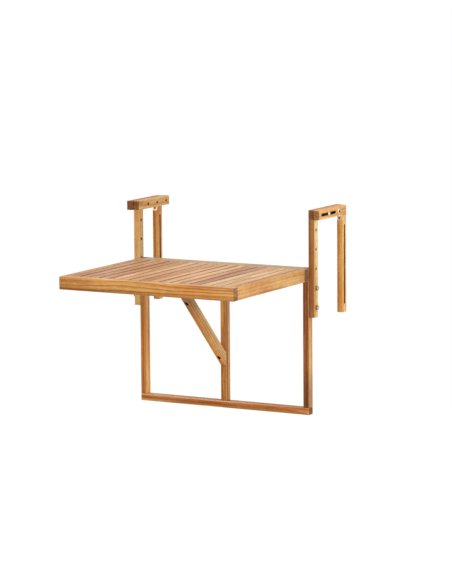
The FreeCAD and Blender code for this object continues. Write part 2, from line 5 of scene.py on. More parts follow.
import bmesh
import bpy
from bpy.props import FloatProperty, FloatVectorProperty, PointerProperty
from mathutils import Euler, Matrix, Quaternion, Vector

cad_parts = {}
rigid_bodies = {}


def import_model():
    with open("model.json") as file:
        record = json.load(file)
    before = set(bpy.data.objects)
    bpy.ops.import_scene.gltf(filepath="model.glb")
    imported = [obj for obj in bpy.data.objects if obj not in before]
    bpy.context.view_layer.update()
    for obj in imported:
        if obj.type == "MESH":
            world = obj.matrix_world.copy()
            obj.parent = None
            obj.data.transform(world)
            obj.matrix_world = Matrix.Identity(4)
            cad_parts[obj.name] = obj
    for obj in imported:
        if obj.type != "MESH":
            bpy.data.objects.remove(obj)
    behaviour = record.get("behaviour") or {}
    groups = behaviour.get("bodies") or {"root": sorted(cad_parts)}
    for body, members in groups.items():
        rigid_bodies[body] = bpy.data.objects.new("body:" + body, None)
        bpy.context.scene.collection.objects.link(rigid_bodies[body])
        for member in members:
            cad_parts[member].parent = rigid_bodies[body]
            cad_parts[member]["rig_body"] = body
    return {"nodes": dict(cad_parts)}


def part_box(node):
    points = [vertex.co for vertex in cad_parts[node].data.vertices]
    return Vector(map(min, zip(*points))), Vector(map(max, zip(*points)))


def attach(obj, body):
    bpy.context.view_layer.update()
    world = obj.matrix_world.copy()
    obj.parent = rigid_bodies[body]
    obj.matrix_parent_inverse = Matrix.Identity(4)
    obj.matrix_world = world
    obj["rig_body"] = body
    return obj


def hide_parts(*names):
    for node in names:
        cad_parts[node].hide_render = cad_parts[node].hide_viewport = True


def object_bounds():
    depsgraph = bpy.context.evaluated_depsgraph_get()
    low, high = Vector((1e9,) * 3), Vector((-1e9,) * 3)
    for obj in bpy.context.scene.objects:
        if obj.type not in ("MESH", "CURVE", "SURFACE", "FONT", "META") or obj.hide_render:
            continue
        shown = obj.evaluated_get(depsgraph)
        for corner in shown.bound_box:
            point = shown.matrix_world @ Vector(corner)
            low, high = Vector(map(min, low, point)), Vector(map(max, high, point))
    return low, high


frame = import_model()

bl_info = {
    "name": "Hanging table finish",
    "version": (1, 0, 0),
    "blender": (4, 5, 0),
    "location": "View3D > Sidebar > Hanging table",
    "description": "Oiled boards and zinc fasteners for a slatted table that hangs on a railing",
    "category": "Object",
}

CAD_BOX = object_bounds()
SIDES = {"left": -1, "right": 1}
UP = Vector((0, 0, 1))
WHITE = (1, 1, 1)
# How squarely a face is turned one way: where an effect starts, and where it is full
FACE_TURN = (0.5, 0.9)


def linear(red, green, blue):
    """A colour in screen values from 0 to 255, as the linear values that shaders use."""
    def channel(amount):
        level = amount / 255
        return level / 12.92 if level <= 0.04045 else ((level + 0.055) / 1.055) ** 2.4
    return tuple(channel(amount) for amount in (red, green, blue))


def tone(name, description, red, green, blue):
    """A colour setting."""
    return FloatVectorProperty(name=name, description=description, subtype="COLOR", min=0, max=1,
                               default=linear(red, green, blue))


def length(name, description, metres):
    """A length setting, in metres."""
    return FloatProperty(name=name, description=description, default=metres, unit="LENGTH", precision=4)


def share(name, description, amount):
    """A setting from 0 to 1."""
    return FloatProperty(name=name, description=description, default=amount, min=0, max=1, subtype="FACTOR")


def angle(name, description, degrees):
    """An angle setting."""
    return FloatProperty(name=name, description=description, default=math.radians(degrees), subtype="ANGLE")


def power(name, description, watts):
    """A power setting, in watts."""
    return FloatProperty(name=name, description=description, default=watts, unit="POWER")


# Settings

class WoodSettings(bpy.types.PropertyGroup):
    """Colours and grain of the oiled boards."""
    straw: tone("Straw", "Palest boards, mostly sapwood", 244, 210, 152)
    cream: tone("Cream", "Palest boards of the top", 234, 196, 150)
    sand: tone("Sand", "Light boards of the top", 228, 184, 136)
    oat: tone("Oat", "Pale yellow brown boards", 217, 190, 132)
    drab: tone("Drab", "Greyish boards", 198, 170, 132)
    tan: tone("Tan", "Light brown boards", 214, 168, 108)
    apricot: tone("Apricot", "Light orange boards", 230, 178, 112)
    honey: tone("Honey", "Golden fronts of boards", 220, 160, 80)
    ochre: tone("Ochre", "Brown gold fronts of boards", 208, 152, 80)
    amber: tone("Amber", "Orange brown boards", 208, 140, 68)
    russet: tone("Russet", "Red brown boards", 194, 122, 64)
    salmon: tone("Salmon", "Pink boards", 222, 172, 126)
    rose: tone("Rose", "Brown pink boards", 204, 157, 118)
    mauve: tone("Mauve", "Greyish pink boards", 196, 150, 122)
    caramel: tone("Caramel", "Brown streaks along the edges of some boards", 192, 136, 68)
    umber: tone("Umber", "Brown heartwood on the front of some boards", 162, 110, 62)
    chestnut: tone("Chestnut", "Deep brown heartwood on the front of some boards", 152, 93, 45)
    walnut: tone("Walnut", "Dark heartwood along the edges of some boards", 126, 77, 39)
    late: tone("Late wood", "What dark grain multiplies a board's colour by", 196, 170, 134)
    blush: tone("Blush", "What the pink clouds in a board multiply its colour by", 252, 238, 228)
    pore: tone("Pores", "What open pores multiply a board's colour by", 150, 130, 116)
    # Darker ends: painted shade on the strut's head under the table top, and the right stile darker towards
    # its foot
    weathered: tone("End darkening", "What darkened board ends multiply a board's colour by", 203, 188, 188)
    end: tone("End grain", "Colour that cut ends fade towards", 104, 67, 39)
    # Painted shade: what the walls of holes and slots, the slats' sides and the faces behind slots and
    # between bars are multiplied by
    grime: tone("Painted shade", "What gaps and slots multiply a board's colour by", 120, 72, 32)
    stain: tone("Deep painted shade", "What holes and rubbed faces multiply a board's colour by", 84, 49, 22)
    # Pale eased edges: wear and a painted highlight
    worn: tone("Edge wear and highlight", "Colour that eased edges fade towards", 244, 212, 158)
    ring_spacing: length("Ring spacing", "Distance between growth rings", 0.0110)
    # The pale eased edge is wear and a painted highlight
    edge_width: length("Edge width", "Width of the eased edge that wears pale", 0.0020)
    strut_depth: length("Strut depth", "Depth of the slanting strut across its grain", 0.030)
    strut_overhang: length("Strut overhang", "How far the strut's underside passes the diagonal", 0.0015)
    slot_reach: length("Slot reach", "Half the length of the slots in the arms", 0.0495)
    roughness: share("Roughness", "Roughness of the oiled faces", 0.46)
    gloss: share("Gloss", "Strength of the reflection on the oiled faces", 0.18)


class HardwareSettings(bpy.types.PropertyGroup):
    """Finish and sizes of the zinc plated fasteners."""
    zinc: tone("Zinc", "Yellow zinc plate", 240, 224, 194)
    tarnish: tone("Tarnish", "Duller patches of the plate", 212, 184, 140)
    steel: tone("Steel", "Outer faces of the bolts and screws", 206, 186, 150)
    # Rust and side shade: real dull patches, and painted shade on the sides of the steel heads and washers
    rust: tone("Rust and side shade", "Brown sides and patches of the bolts and screws", 146, 118, 68)
    # Painted shade: the dark metal, with lighter specks, that lines the sockets and cross drives
    shadow: tone("Socket", "Blackened metal inside the sockets", 30, 20, 14)
    oxide: tone("Shade specks", "Lighter specks of the blackened metal", 62, 44, 30)
    roughness: share("Roughness", "Roughness of the zinc plate", 0.34)
    bolt_diameter: length("Bolt diameter", "Diameter of the machine bolts", 0.008)
    bolt_head_height: length("Bolt head height", "Height of the lock screws' heads", 0.004)
    hex_head_height: length("Hexagon head height", "Height of the post bolts' heads", 0.0053)
    slide_head_height: length("Slide head height", "Height of the slide bolts' heads", 0.004)
    bolt_socket: length("Bolt socket", "Width across the flats of the sockets", 0.006)
    bolt_socket_depth: length("Bolt socket depth", "Depth of the sockets", 0.003)
    socket_mouth: length("Socket mouth", "Diameter of the countersunk mouth of the sockets", 0.0096)
    screw_diameter: length("Screw diameter", "Diameter of the large wood screws", 0.006)
    screw_head_height: length("Screw head height", "Height of the large screw heads", 0.004)
    small_screw_diameter: length("Small screw diameter", "Diameter of the small wood screws", 0.004)
    small_head_height: length("Small head height", "Height of the small screw heads", 0.0022)
    bracket_metal: length("Bracket metal", "Thickness of the corner brackets", 0.002)
    bracket_corner: length("Bracket corner", "Radius of the brackets' free corners", 0.006)
    bracket_bend: length("Bracket bend", "Outside radius of the brackets' bend", 0.0018)


class StageSettings(bpy.types.PropertyGroup):
    """Floor, light and camera."""
    floor_drop: length("Floor drop", "Distance from the table's lowest point to the floor", 0.85)
    ambient: share("Ambient light", "Strength of the even light from all round", 0.42)
    key_power: power("Key lamp", "Power of the soft lamp at the right", 75)
    top_power: power("Top lamp", "Power of the soft lamp overhead", 52)
    fill_power: power("Fill lamp", "Power of the weak lamp at the front left", 8)
    azimuth: angle("Azimuth", "Direction of the camera, from the front towards the right", 28.853)
    elevation: angle("Elevation", "Height of the camera above the horizon", 8.094)
    roll: angle("Roll", "Turn of the camera about its own axis", 0.458)
    distance: length("Distance", "Distance from the camera to the point it looks at", 8.964)
    lens: FloatProperty(name="Lens", description="Focal length, in mm", default=180.26, unit="CAMERA")
    aim: FloatVectorProperty(name="Aim", description="Point that the camera looks at", subtype="TRANSLATION",
                             unit="LENGTH", default=(0.0810, -0.2172, -0.2206))


class TableSettings(bpy.types.PropertyGroup):
    """All settings of the hanging table."""
    wood: PointerProperty(type=WoodSettings)
    hardware: PointerProperty(type=HardwareSettings)
    stage: PointerProperty(type=StageSettings)


# Shader sums

def sums(operation, reflected=False):
    """A method that adds one Math node, with its own value second in a reflected form."""
    def method(self, value=0.0):
        first, second = (value, self) if reflected else (self, value)
        return self.recipe.node("ShaderNodeMath", {"operation": operation}, {0: first, 1: second})
    return method


class Tied:
    """A value that changes over a surface. Sums on it add Math nodes to its tree."""

    __add__ = sums("ADD")
    __radd__ = sums("ADD", reflected=True)
    __sub__ = sums("SUBTRACT")
    __rsub__ = sums("SUBTRACT", reflected=True)
    __mul__ = sums("MULTIPLY")
    __rmul__ = sums("MULTIPLY", reflected=True)
    __truediv__ = sums("DIVIDE")
    __rtruediv__ = sums("DIVIDE", reflected=True)
    __pow__ = sums("POWER")
    __rpow__ = sums("POWER", reflected=True)
    __abs__ = sums("ABSOLUTE")
    fraction = sums("FRACT")
    root = sums("SQRT")
    larger = sums("MAXIMUM")
    smaller = sums("MINIMUM")

    def __init__(self, recipe, socket):
        self.recipe = recipe
        self.socket = socket

    def other(self, name):
        """Another output of the same node."""
        return Tied(self.recipe, self.socket.node.outputs[name])

    def swing(self, size):
        """A value from 0 to 1, as a swing of a given size about zero."""
        return (self - 0.5) * size

    def ramp(self, start, stop):
        """0 at start and 1 at stop, smoothly, and level beyond them."""
        return self.recipe.node("ShaderNodeMapRange", {"interpolation_type": "SMOOTHSTEP"},
                                {"Value": self, "From Min": start, "From Max": stop})

    def within(self, reach, fade):
        """1 inside a reach and 0 outside it, with a fade that is a share of the reach."""
        return 1 - self.ramp(reach * (1 - fade), reach * (1 + fade))


class Recipe:
    """A node tree that is being written."""

    def __init__(self, tree):
        self.tree = tree

    def node(self, kind, settings=None, inputs=None, output=0):
        """Add a node, set it up, give or link its inputs, and return one of its outputs."""
        made = self.tree.nodes.new(kind)
        for name, setting in (settings or {}).items():
            setattr(made, name, setting)
        for name, given in (inputs or {}).items():
            self.feed(made.inputs[name], given)
        return Tied(self, made.outputs[output])

    def feed(self, socket, given):
        """Link a value to a socket, or set a constant."""
        if isinstance(given, Tied):
            self.tree.links.new(given.socket, socket)
        else:
            socket.default_value = given

    def mix(self, amount, first, second, way="MIX"):
        """Blend two colours."""
        return self.node("ShaderNodeMix", {"data_type": "RGBA", "blend_type": way},
                         {0: amount, 6: first, 7: second}, output=2)

    def noise(self, place, stretch, shift, detail):
        """Noise whose features per metre are given for each axis."""
        spot = self.node("ShaderNodeVectorMath", {"operation": "MULTIPLY_ADD"},
                         {0: place, 1: stretch, 2: shift})
        return self.node("ShaderNodeTexNoise", {}, {"Vector": spot, "Scale": 1.0, "Detail": detail})

    def bump(self, height, strength, distance):
        """A surface that is raised by a height."""
        inputs = {"Strength": strength, "Distance": distance, "Height": height}
        return self.node("ShaderNodeBump", {}, inputs)


def new_material(name):
    """A material with its tree's recipe and its surface shader."""
    material = bpy.data.materials.new(name)
    material.use_nodes = True
    return material, Recipe(material.node_tree), material.node_tree.nodes["Principled BSDF"]


def rgba(colour):
    return (*colour, 1.0)


# Oiled boards

GRAIN_TURNS = {"X": Euler((0, math.pi / 2, 0)), "Y": Euler((-math.pi / 2, 0, 0)), "Z": Euler((0, 0, 0))}

# Grain patterns: features per metre across, through and along a board, and levels of detail
STREAKS = ((75, 75, 1.6), 4)
CLOUDS = ((14, 14, 4), 1)
MOTTLES = ((80, 80, 40), 2)
FIBRES = ((900, 900, 16), 2)
PORES = ((1500, 1500, 60), 1)
RING_WAVES = ((16, 16, 2.6), 2)

# Where noise shows as pores, and how far patterns shift
PORE_RANGE = (0.60, 0.72)
FARTHEST_SHIFT = 50

# Growth rings, with lengths in metres
PITH_REACH = (0.018, 0.060)
RING_WAVER = 0.030
RING_SMEAR = 0.8
RING_SHARPNESS = 2

# How much each pattern darkens the wood
RING_MIDDLE = 0.3
RING_DARK = 0.75
STREAK_DARK = 2.2
CLOUD_DARK = 0.8
MOTTLE_DARK = 0.7
FIBRE_DARK = 0.4
DARK_RANGE = (-0.5, 0.7)

# Heartwood, strips, dark ends, slots and painted shade: lengths in metres, and fades as shares of a reach
LAYER_FADE_DEPTH = 0.004
LAYER_WAVER = 0.006
STRIP_FADE = 0.3
STRIP_WAVER = 0.010
END_FADE = 0.6
END_WAVER = 0.020
SLOT_HALF_WIDTH = 0.0048
SLOT_SIDE_FADE = 0.125
SLOT_END_FADE = 0.05
SHADE_DEPTHS = (0.0005, 0.0012)

# Ranges and strengths of what is laid over the wood's colour
BLUSH_RANGE = (0.40, 0.65)
PORE_STRENGTH = 0.6
CUT_TURN = (0.45, 0.85)
CUT_STRENGTH = 0.75
CUT_GRAIN = 0.20
# Pale edges are wear and a painted highlight; the gap and facing shares below are painted shade
EDGE_WEAR_AND_HIGHLIGHT = 0.5
GAP_SHADE = (0.5, 1.0)
FACING_SHADE = 0.6

# What makes a face rougher, and what raises it
FIBRE_ROUGHNESS = 0.25
PORE_ROUGHNESS = 0.2
CUT_ROUGHNESS = 0.25
PAINTED_SHADE_ROUGHNESS = 0.3
FIBRE_RELIEF = 0.6
PORE_RELIEF = 0.7
RING_RELIEF = 0.3
GRAIN_RELIEF = 0.25
GRAIN_HEIGHT = 0.0004


class Board:
    """A wooden piece: its middle, the turn that takes its own Z axis to its grain, and its half widths.

    Its traits are layers on its front (tone, depth), strips along its edges (tone, side, reach), dark ends
    (end, reach), pith (the rings' middle), figure (strength of rings and streaks), gaps (sides with painted
    shade), stripe (which way along X the side behind a slot faces, where a shadow is painted), bolt (the one
    in that slot), shaded_face (which way a side with painted shade faces), shade_tone (the tone of the
    painted shade), and depth and overhang for the strut.
    """

    def __init__(self, node, grain, colour, **traits):
        low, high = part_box(node)
        self.node = node
        self.colour = colour
        self.traits = traits
        self.middle = (low + high) / 2
        self.half = (high - low) / 2
        if grain == "lean":
            self.lean(traits["depth"], traits["overhang"])
        else:
            self.turn = GRAIN_TURNS[grain]
            own = self.turn.to_matrix().transposed() @ self.half
            self.half = Vector([abs(part) for part in own])

    def lean(self, depth, overhang):
        """Fit a strut that rises from the back of its box to the front, along the diagonal."""
        half = self.half
        self.turn = Euler((math.atan2(half.y, half.z), 0, 0))
        self.half = Vector((half.x, depth / 2, math.hypot(half.y, half.z)))
        self.middle += self.axis(1) * (depth / 2 - overhang)

    def axis(self, number):
        """One of the board's own axes, in the frame of the whole table."""
        return self.turn.to_matrix().col[number]

    def trait(self, name, usual):
        return self.traits.get(name, usual)


class Grain:
    """The pattern of one board: growth rings about an off-centre pith, streaks, fibres and pores."""

    def __init__(self, board, recipe, look):
        self.recipe = recipe
        self.chance = random.Random(board.node)
        place = recipe.node("ShaderNodeTexCoord", output="Object")
        self.own = recipe.node("ShaderNodeMapping", {"vector_type": "TEXTURE"},
                               {"Vector": place, "Location": board.middle, "Rotation": board.turn})
        self.across = recipe.node("ShaderNodeSeparateXYZ", {}, {0: self.own}, output="X")
        self.depth = self.across.other("Y")
        self.along = self.across.other("Z")
        self.streak = self.noise(*STREAKS)
        self.cloud = self.noise(*CLOUDS)
        self.mottle = self.noise(*MOTTLES)
        self.fibre = self.noise(*FIBRES)
        self.pores = self.noise(*PORES).ramp(*PORE_RANGE)
        self.ring = self.rings(look.ring_spacing, *board.trait("pith", self.anywhere()))
        figure = board.trait("figure", 1.0)
        drawn = (self.ring - RING_MIDDLE) * RING_DARK * figure + self.streak.swing(STREAK_DARK) * figure
        self.dark = (drawn + self.cloud.swing(CLOUD_DARK) + self.mottle.swing(MOTTLE_DARK)
                     + self.fibre.swing(FIBRE_DARK)).ramp(*DARK_RANGE)

    def noise(self, stretch, detail):
        """Noise in the board's own axes, shifted by chance."""
        shift = [self.chance.uniform(-FARTHEST_SHIFT, FARTHEST_SHIFT) for axis in range(3)]
        return self.recipe.noise(self.own, stretch, shift, detail)

    def anywhere(self):
        """A place for the pith, some way from the board's middle."""
        bearing = self.chance.uniform(0, 2 * math.pi)
        reach = self.chance.uniform(*PITH_REACH)
        return -math.cos(bearing) * reach, -math.sin(bearing) * reach

    def rings(self, spacing, pith_across, pith_depth):
        """Growth rings that wander, from 0 to 1 across each ring."""
        left = self.across + self.noise(*RING_WAVES).swing(RING_WAVER) - pith_across
        down = self.depth + self.noise(*RING_WAVES).swing(RING_WAVER) - pith_depth
        radius = (left * left + down * down).root()
        return (radius / spacing + self.streak.swing(RING_SMEAR)).fraction() ** RING_SHARPNESS

    def shade(self, colour, late):
        """A colour with the dark grain drawn in."""
        darker = [first * second for first, second in zip(colour, late)]
        return self.recipe.mix(self.dark, rgba(colour), rgba(darker))


class OiledWood:
    """The finish of one board, with dark ends, pale edges of wear and painted highlight, and painted shade
    in the gaps, slots and holes.
    """

    def __init__(self, board, look):
        self.board = board
        self.look = look
        self.material, self.recipe, surface = new_material("wood_" + board.node)
        self.grain = Grain(board, self.recipe, look)
        self.normal = self.recipe.node("ShaderNodeNewGeometry", output="Normal")
        self.from_side = board.half.x - abs(self.grain.across)
        self.from_face = board.half.y - abs(self.grain.depth)
        self.from_end = board.half.z - abs(self.grain.along)
        self.cut = abs(self.facing(board.axis(2))).ramp(*CUT_TURN)
        self.grime = self.find_grime()
        bump = self.recipe.bump(self.relief(), GRAIN_RELIEF, GRAIN_HEIGHT)
        surface.inputs["Specular IOR Level"].default_value = look.gloss
        self.recipe.feed(surface.inputs["Base Color"], self.weather(self.colour()))
        self.recipe.feed(surface.inputs["Roughness"], self.roughness())
        self.recipe.feed(surface.inputs["Normal"], bump)

    def facing(self, direction):
        """How squarely the surface faces a direction."""
        return self.recipe.node("ShaderNodeVectorMath", {"operation": "DOT_PRODUCT"},
                                {0: self.normal, 1: direction}, output="Value")

    def shade(self, name):
        """A tone of the palette with the dark grain drawn in."""
        return self.grain.shade(getattr(self.look, name), self.look.late)

    def find_grime(self):
        """Where shade is painted, from 0 to 1."""
        board = self.board
        # Painted shade deep inside the board's box, on the walls of holes and slots
        grime = self.from_side.smaller(self.from_face).smaller(self.from_end).ramp(*SHADE_DEPTHS)
        # Painted shade on the slats' sides, in the gaps between them
        if board.trait("gaps", False):
            sides = abs(self.facing(board.axis(0))).ramp(*FACE_TURN)
            grime = grime.larger(sides * self.grain.chance.uniform(*GAP_SHADE))
        stripe = board.trait("stripe", 0)
        # Painted shadow on the face seen through the other bar's slot
        if stripe:
            grime = grime.larger(self.behind_slot() * self.facing((stripe, 0, 0)).ramp(*FACE_TURN))
        # Painted shade on the bar's face that lies against the other bar
        shaded_face = board.trait("shaded_face", 0)
        if shaded_face:
            grime = grime.larger(self.facing((shaded_face, 0, 0)).ramp(*FACE_TURN) * FACING_SHADE)
        return grime

    def behind_slot(self):
        """Where the other bar's slot lies over this board, about the slide bolt: the painted shadow seen
        through the slot.
        """
        board, grain = self.board, self.grain
        bolt = sum(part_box(board.trait("bolt", "")), Vector()) / 2 - board.middle
        across_slot = abs(grain.depth).within(SLOT_HALF_WIDTH, SLOT_SIDE_FADE)
        from_bolt = abs(grain.along - bolt.dot(board.axis(2)))
        return across_slot * from_bolt.within(self.look.slot_reach, SLOT_END_FADE)

    def colour(self):
        """The colour of the wood: its tone, heartwood, strips, dark ends, pink clouds and pores;
        the front rail's thin lower strip and the strut's dark head are painted shade.
        """
        board, look, grain, mix = self.board, self.look, self.grain, self.recipe.mix
        colour = self.shade(board.colour)
        for name, depth in board.trait("layers", ()):
            from_front = grain.depth + board.half.y + grain.streak.swing(LAYER_WAVER)
            colour = mix(1 - from_front.ramp(depth - LAYER_FADE_DEPTH, depth), colour, self.shade(name))
        for name, side, reach in board.trait("strips", ()):
            from_edge = board.half.x - grain.across * side + grain.streak.swing(STRIP_WAVER)
            colour = mix(from_edge.within(reach, STRIP_FADE), colour, self.shade(name))
        # Darker ends: on the strut's head, painted shade under the table top; on the right stile, darker
        # towards its foot
        for end, reach in board.trait("ends", ()):
            from_tip = board.half.z - grain.along * end + grain.streak.swing(END_WAVER)
            colour = mix(from_tip.within(reach, END_FADE), colour, rgba(look.weathered), "MULTIPLY")
        colour = mix(grain.cloud.ramp(*BLUSH_RANGE), colour, rgba(look.blush), "MULTIPLY")
        return mix(grain.pores * PORE_STRENGTH, colour, rgba(look.pore), "MULTIPLY")

    def weather(self, colour):
        """A colour with cut ends, pale edges of wear and painted highlight, and painted shade."""
        board, look, grain, mix = self.board, self.look, self.grain, self.recipe.mix
        colour = mix(self.cut * (CUT_STRENGTH + grain.dark * CUT_GRAIN), colour, rgba(look.end))
        if not board.trait("gaps", False):
            # Pale eased edges: wear and a painted highlight
            edge = 1 - self.from_side.larger(self.from_face).ramp(0.0, look.edge_width)
            colour = mix(edge * grain.cloud * EDGE_WEAR_AND_HIGHLIGHT * (1 - self.cut), colour, rgba(look.worn))
        # Multiply by the tone of the painted shade
        shade_tone = getattr(look, board.trait("shade_tone", "stain"))
        return mix(self.grime, colour, rgba(shade_tone), "MULTIPLY")

    def roughness(self):
        grain = self.grain
        return (self.look.roughness + grain.fibre.swing(FIBRE_ROUGHNESS) + grain.pores * PORE_ROUGHNESS
                + self.cut * CUT_ROUGHNESS + self.grime * PAINTED_SHADE_ROUGHNESS)

    def relief(self):
        grain = self.grain
        return grain.fibre * FIBRE_RELIEF - grain.pores * PORE_RELIEF + grain.ring * RING_RELIEF


def finish_boards(boards, look):
    """Give each board its own oiled finish."""
    for board in boards:
        frame["nodes"][board.node].material_slots[0].material = OiledWood(board, look).material


# Zinc plated metal

# Features per metre along each axis, a shift, and levels of detail
PATCHES = ((420, 420, 420), (3, 7, 11), 3)
SCRATCHES = ((900, 6000, 6000), (5, 1, 9), 1)

# How patches and scratches make the plate dull, rough and uneven
PATCH_WEIGHT = 0.7
SCRATCH_WEIGHT = 0.3
DULL_RANGE = (0.42, 0.62)
# Share of dull patches on the bright faces along X, where the sides carry painted shade
OUTER_FACE_DULLNESS = 0.4
DULL_ROUGHNESS = 0.16
SCRATCH_ROUGHNESS = 0.2
SCRATCH_RELIEF = 0.12
SCRATCH_HEIGHT = 0.0001


def plated(name, bright, dull, look, shaded_sides=False):
    """Metal plate with duller patches and fine scratches, or with sides in painted shade and bright faces
    along X.
    """
    material, recipe, surface = new_material(name)
    place = recipe.node("ShaderNodeTexCoord", output="Object")
    patch = recipe.noise(place, *PATCHES)
    scratch = recipe.noise(place, *SCRATCHES)
    dullness_and_shade = (patch * PATCH_WEIGHT + scratch * SCRATCH_WEIGHT).ramp(*DULL_RANGE)
    # Painted shade: the sides take the dark, dull tone, and only faces along X stay bright
    if shaded_sides:
        normal = recipe.node("ShaderNodeNewGeometry", output="Normal")
        outward = abs(recipe.node("ShaderNodeSeparateXYZ", {}, {0: normal}, output="X"))
        dullness_and_shade = (1 - outward.ramp(*FACE_TURN)).larger(dullness_and_shade * OUTER_FACE_DULLNESS)
    surface.inputs["Metallic"].default_value = 1.0
    recipe.feed(surface.inputs["Base Color"], recipe.mix(dullness_and_shade, rgba(bright), rgba(dull)))
    recipe.feed(surface.inputs["Roughness"],
                look.roughness + dullness_and_shade * DULL_ROUGHNESS + scratch.swing(SCRATCH_ROUGHNESS))
    recipe.feed(surface.inputs["Normal"], recipe.bump(scratch, SCRATCH_RELIEF, SCRATCH_HEIGHT))
    return material


class Metals:
    """The materials of the fasteners, made once."""

    def __init__(self, look):
        # The dark metal is painted shade inside the sockets and cross drives
        kinds = {"plate": (look.zinc, look.tarnish, False), "steel": (look.steel, look.rust, True),
                 "dark": (look.shadow, look.oxide, False)}
        for kind, (bright, dull, shaded_sides) in kinds.items():
            name = "metal_" + kind
            made = bpy.data.materials.get(name) or plated(name, bright, dull, look, shaded_sides)
            setattr(self, kind, made)


# Modelling steps

ROUND_SIDES = 48
HEX_SIDES = 6
DOME_STEPS = 5
SAME_PLACE = 1e-6
SMOOTH_ANGLE = math.radians(32)
SELECT_MODES = {"verts": "VERT", "edges": "EDGE", "faces": "FACE"}


def deselect():
    bpy.ops.object.select_all(action="DESELECT")


def edit(editing):
    bpy.ops.object.mode_set(mode="EDIT" if editing else "OBJECT")


def only(obj):
    """Make an object the only selected one, and active."""
    deselect()
    obj.select_set(True)
    bpy.context.view_layer.objects.active = obj


def settle(material):
    """Apply the place and size of the new primitive, and give it a material."""
    bpy.ops.object.transform_apply(location=True, rotation=True, scale=True)
    obj = bpy.context.active_object
    obj.data.materials.append(material)
    return obj


def rod(radius, start, stop, material, sides=ROUND_SIDES):
    """A prism or cylinder along Z."""
    deselect()
    bpy.ops.mesh.primitive_cylinder_add(vertices=sides, radius=radius, depth=stop - start,
                                        location=(0, 0, (start + stop) / 2))
    return settle(material)


def near(first, second):
    return abs(first - second) < SAME_PLACE


def pick(obj, kind, test):
    """In edit mode, select the verts, edges or faces whose corners all pass a test."""
    bpy.ops.mesh.select_mode(type=SELECT_MODES[kind])
    bpy.ops.mesh.select_all(action="DESELECT")
    mesh = bmesh.from_edit_mesh(obj.data)
    for item in getattr(mesh, kind):
        corners = [item] if kind == "verts" else item.verts
        if all(test(corner.co) for corner in corners):
            item.select_set(True)
    bmesh.update_edit_mesh(obj.data)


def at_height(height):
    """A test for what lies level at a height."""
    return lambda corner: near(corner.z, height)


def ease_rim(obj, height, width, segments):
    """Bevel the rim at one end of a prism or cylinder."""
    only(obj)
    edit(True)
    pick(obj, "edges", at_height(height))
    bpy.ops.mesh.bevel(offset=width, segments=segments, affect="EDGES")
    edit(False)


def modify(obj, kind, **settings):
    """Add a modifier to an object, set it up and apply it."""
    only(obj)
    bpy.ops.object.modifier_add(type=kind)
    change = obj.modifiers[-1]
    for name, setting in settings.items():
        setattr(change, name, setting)
    bpy.ops.object.modifier_apply(modifier=change.name)


def combine(obj, tool, way):
    """Join, cut or intersect two solids, and remove the tool."""
    modify(obj, "BOOLEAN", operation=way, solver="EXACT", material_mode="TRANSFER", object=tool)
    bpy.data.objects.remove(tool)
    return obj


def point(obj, spot, direction):
    """Move an object to a spot and turn its Z axis to a direction."""
    obj.location = spot
    obj.rotation_euler = UP.rotation_difference(Vector(direction)).to_euler()


def set_out(pattern, name, places, node):
    """Copy a pattern to each place and direction, as one piece that stands for a node."""
    copies = []
    for spot, direction in places:
        only(pattern)
        bpy.ops.object.duplicate()
        copy = bpy.context.active_object
        point(copy, spot, direction)
        copies.append(copy)
    bpy.data.objects.remove(pattern)
    deselect()
    for copy in copies:
        copy.select_set(True)
    bpy.context.view_layer.objects.active = copies[0]
    bpy.ops.object.transform_apply(location=True, rotation=True, scale=True)
    if len(copies) > 1:
        bpy.ops.object.join()
    piece = bpy.context.active_object
    piece.name = name
    seat(piece, node)


def seat(piece, node):
    """Shade a piece, and let it stand for a node and ride on its body."""
    only(piece)
    bpy.ops.object.shade_smooth_by_angle(angle=SMOOTH_ANGLE)
    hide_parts(node)
    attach(piece, frame["nodes"][node]["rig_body"])


def row(node, axis, count, radius):
    """Places of like pieces along one axis of a node's box, at the middle of the others."""
    low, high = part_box(node)
    first = low[axis] + radius
    last = high[axis] - radius
    spots = []
    for step in range(count):
        spot = (low + high) / 2
        spot[axis] = first + (last - first) * step / max(count - 1, 1)
        spots.append(spot)
    return spots


# Bolts and screws

# Shares of a head's height, a socket's width, and a hexagon's width and radius
DOME_SHARE = 0.5
SOCKET_NECK = 0.45
TURNED_CORNER = 0.075
TURNING_ROOM = 1.001

# Shares of a screw head's radius and height
CROSS_WIDTH = 1.1
CROSS_BLADE = 0.28
CROSS_DEPTH = 0.6


def hexagon_radius(across):
    """Radius to the corners of a hexagon, from its width across the flats."""
    return across / math.sqrt(3)


def round_screw(head_radius, head_height, radius, shank, metal, drive=None):
    """A screw along Z with its seat at the origin, a domed head below it and any drive cut in the head."""
    obj = rod(head_radius, -head_height, 0, metal)
    ease_rim(obj, -head_height, head_height * DOME_SHARE, DOME_STEPS)
    edit(True)
    pick(obj, "faces", at_height(0))
    bpy.ops.mesh.inset(thickness=head_radius - radius, depth=0)
    bpy.ops.mesh.extrude_region_move(TRANSFORM_OT_translate={"value": (0, 0, shank)})
    edit(False)
    return combine(obj, drive, "DIFFERENCE") if drive else obj


def socket_drive(look, dark):
    """The hexagonal hole of a socket head, with a countersunk mouth, lined with the dark metal of painted
    shade.
    """
    top = -look.bolt_head_height
    hexagon = rod(hexagon_radius(look.bolt_socket), 2 * top, top + look.bolt_socket_depth, dark, HEX_SIDES)
    wide = look.socket_mouth / 2
    narrow = look.bolt_socket * SOCKET_NECK
    deselect()
    bpy.ops.mesh.primitive_cone_add(vertices=ROUND_SIDES, radius1=2 * wide - narrow, radius2=narrow,
                                    depth=2 * (wide - narrow), location=(0, 0, top))
    return combine(hexagon, settle(dark), "UNION")


